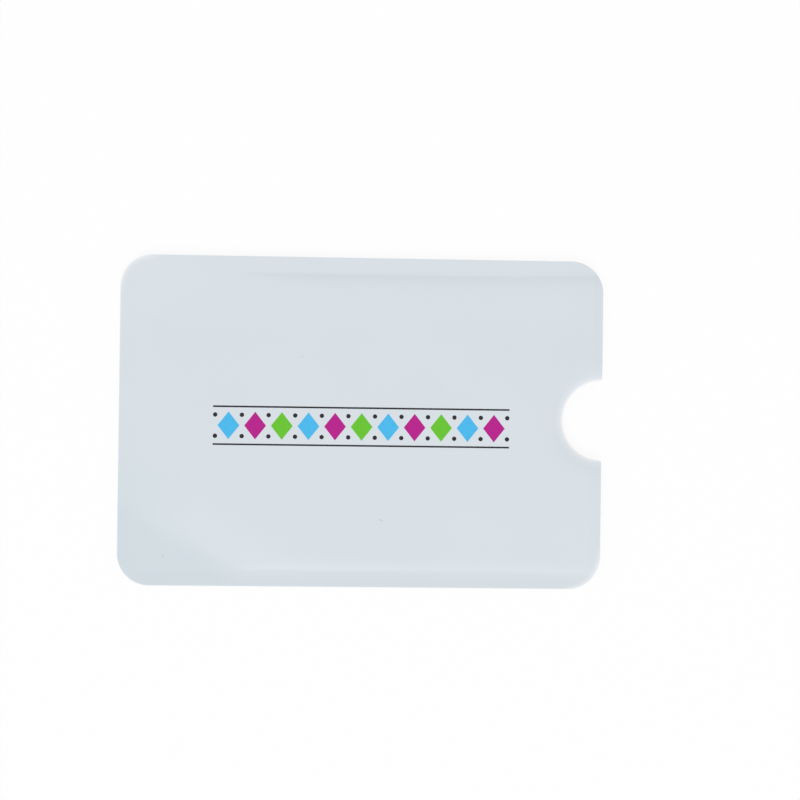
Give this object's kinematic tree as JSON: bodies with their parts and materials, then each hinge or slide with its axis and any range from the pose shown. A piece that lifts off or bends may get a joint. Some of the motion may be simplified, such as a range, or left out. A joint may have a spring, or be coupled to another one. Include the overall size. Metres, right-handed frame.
{
  "type": "rfid card sleeve",
  "caption": "Flat screening sleeve for a payment card: foil-lined paper panels sealed along the long edges and the closed end, with rounded corners and a half-round thumb notch in the mouth.",
  "frame": {"origin": "middle of the sleeve's length and width, in the plane that its back rests on", "axes": "+X towards the mouth, +Y towards the upper long edge, +Z out of the printed front face"},
  "size_m": [0.091, 0.062, 0.0018],
  "materials": {
    "gloss_film": "clear film over cool white print, soft gloss",
    "white_paper": "coated white paper, seen at the cut edges",
    "foil": "dull side of household-gauge foil",
    "liner": "clear plastic liner over foil, satin",
    "seal": "fused liner, satin"
  },
  "bodies": {
    "root": {"front_film": "gloss_film", "front_paper": "white_paper", "front_foil": "foil", "front_liner": "liner", "upper_seal": "seal", "lower_seal": "seal", "end_seal": "seal", "back_liner": "liner", "back_foil": "foil", "back_paper": "white_paper", "back_film": "gloss_film"}
  },
  "joints": []
}
